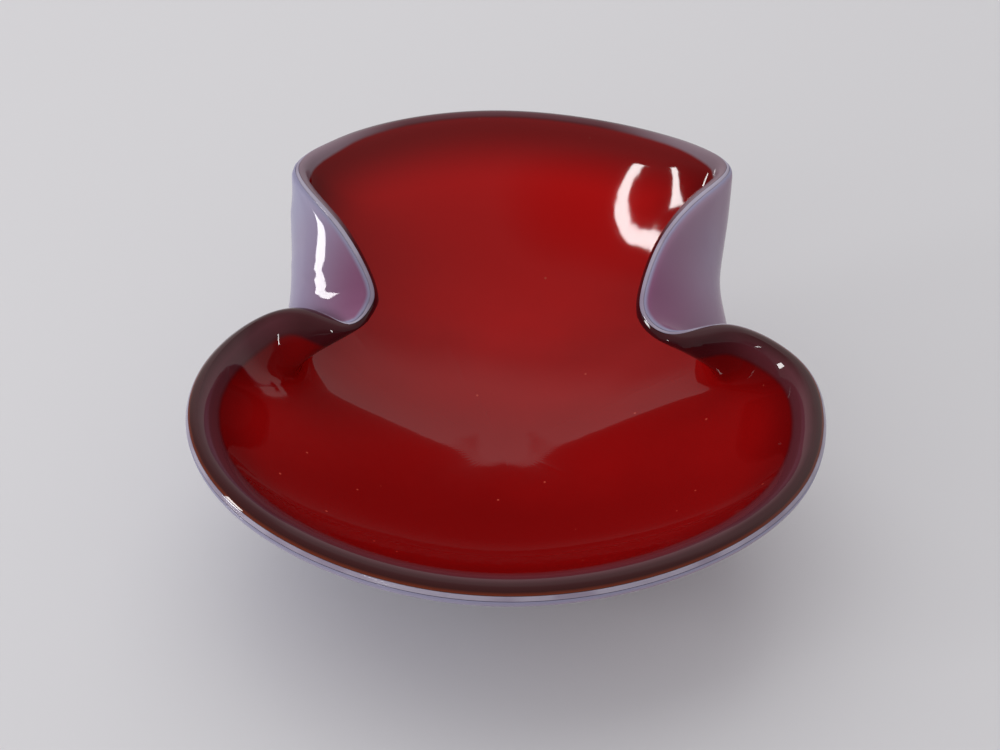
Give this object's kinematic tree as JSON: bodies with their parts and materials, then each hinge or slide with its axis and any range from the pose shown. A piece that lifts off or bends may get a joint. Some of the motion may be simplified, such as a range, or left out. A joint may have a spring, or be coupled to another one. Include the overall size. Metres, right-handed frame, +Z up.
{
  "type": "art glass bowl",
  "caption": "Hand-blown cased glass bowl with a tall shell-like back, deep pressed-in folds at its sides and a low round front lobe, ruby inside and lilac outside.",
  "frame": {"origin": "middle of the bowl's bounding box seen from above, on the surface that the foot stands on", "axes": "+Z up, +X along the long axis of the bowl, towards the right fold; the low round lobe faces -Y and the tall back +Y"},
  "size_m": [0.1549, 0.14, 0.0758],
  "materials": {
    "ruby_glass": "fire-polished ruby red glass, glossy",
    "opal_glass": "opaque white opal glass, glossy",
    "lilac_glass": "fire-polished lilac grey glass, glossy"
  },
  "bodies": {
    "root": {"ruby_lining": "ruby_glass", "opal_core": "opal_glass", "lilac_casing": "lilac_glass"}
  },
  "joints": []
}
